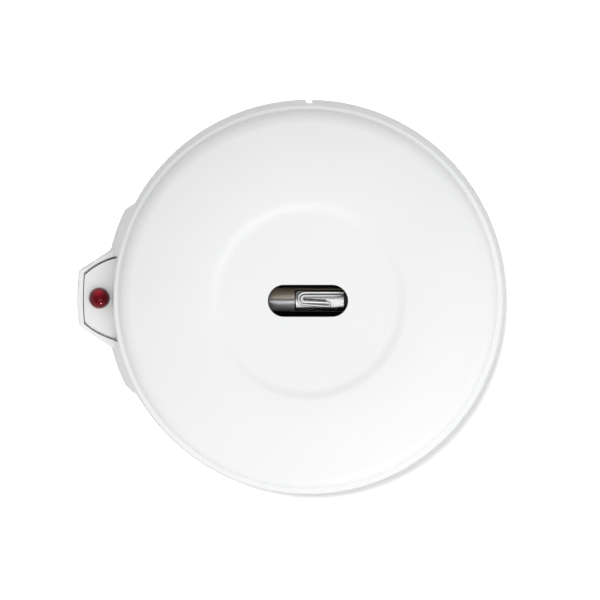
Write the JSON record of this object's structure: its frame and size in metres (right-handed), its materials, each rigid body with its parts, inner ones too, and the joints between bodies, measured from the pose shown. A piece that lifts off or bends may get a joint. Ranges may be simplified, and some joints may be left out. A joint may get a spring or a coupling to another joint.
{
  "type": "flame detector",
  "caption": "Round white flame detector: shallow dome with a short slot over a glass ultraviolet tube, and a side tab with a red indicator lamp; the cover pulls off a wall base.",
  "frame": {"origin": "centre of the base's flat back face, on the wall plane", "axes": "+Z out of the wall towards the dome's front, +X away from the lamp tab, +Y up as seen from the front with the tab at the left"},
  "size_m": [0.1256, 0.116, 0.026],
  "materials": {
    "housing_white": "satin white moulded plastic",
    "holder_black": "matt black moulded plastic",
    "rubber_grey": "soft dark grey rubber",
    "bush_black": "soft black silicone",
    "board_green": "green solder mask on glass laminate",
    "steel": "zinc plated",
    "copper_tinned": "tinned wire, bright",
    "glass_clear": "clear quartz glass",
    "mirror_coat": "bright metallic film",
    "electrode_metal": "bright drawn metal",
    "lamp_red": "dark red translucent epoxy",
    "wire_red": "coloured wire insulation",
    "terminal_green": "green moulded plastic",
    "clamp_brass": "plated brass",
    "switch_red": "red moulded plastic",
    "lever_white": "white moulded plastic",
    "part_black": "black moulded plastic",
    "spring_steel": "bright spring wire",
    "ferrite": "dark grey pressed ferrite",
    "tape_yellow": "yellow winding tape",
    "relay_case": "blue-black case",
    "can_sleeve": "dark sleeve on an aluminium can",
    "film_box": "red-brown box",
    "absorber_blue": "blue epoxy coat",
    "resistor_body": "black glazed ceramic"
  },
  "bodies": {
    "base": {"alarm_relay": "relay_case", "anode_wire": "electrode_metal", "base_plate": "housing_white", "board_screws": "steel", "cable_grommet": "rubber_grey", "cathode_plate": "electrode_metal", "chip_pins": "copper_tinned", "chip_resistors": "resistor_body", "controller_chip": "part_black", "cover_switch_body": "part_black", "cover_switch_spring": "spring_steel", "electrolytic_capacitors": "can_sleeve", "film_capacitor": "film_box", "lamp_board": "board_green", "lamp_board_screw": "steel", "lamp_leads": "copper_tinned", "lamp_lens": "lamp_red", "lamp_wires": "wire_red", "main_board": "board_green", "setting_switch": "switch_red", "surge_absorber": "absorber_blue", "terminal_block": "terminal_green", "terminal_clamps": "clamp_brass", "terminal_screws": "steel", "transformer_core": "ferrite", "transformer_winding": "tape_yellow", "tube_bulb": "glass_clear", "tube_bushes": "bush_black", "tube_holder": "holder_black", "tube_mirror": "mirror_coat"},
    "cover": {"cover_shell": "housing_white"},
    "plunger": {"cover_switch_plunger": "lever_white"},
    "lever_1": {"setting_lever_1": "lever_white"},
    "lever_2": {"setting_lever_2": "lever_white"},
    "lever_3": {"setting_lever_3": "lever_white"},
    "lever_4": {"setting_lever_4": "lever_white"}
  },
  "joints": [
    {"name": "cover_lift", "type": "slide", "parent": "base", "child": "cover", "axis": [0, 0, 1], "range_m": [0, 0.03]},
    {"name": "plunger_rise", "type": "slide", "parent": "base", "child": "plunger", "axis": [0, 0, 1], "range_m": [0, 0.001], "deforming": ["cover_switch_spring"]},
    {"name": "lever_1_slide", "type": "slide", "parent": "base", "child": "lever_1", "axis": [0, 1, 0], "range_m": [0, 0.0014]},
    {"name": "lever_2_slide", "type": "slide", "parent": "base", "child": "lever_2", "axis": [0, 1, 0], "range_m": [0, 0.0014]},
    {"name": "lever_3_slide", "type": "slide", "parent": "base", "child": "lever_3", "axis": [0, 1, 0], "range_m": [0, 0.0014]},
    {"name": "lever_4_slide", "type": "slide", "parent": "base", "child": "lever_4", "axis": [0, 1, 0], "range_m": [0, 0.0014]}
  ],
  "couplings": [
    {"joint": "plunger_rise", "follows": "cover_lift", "ratio": 0.033333}
  ]
}
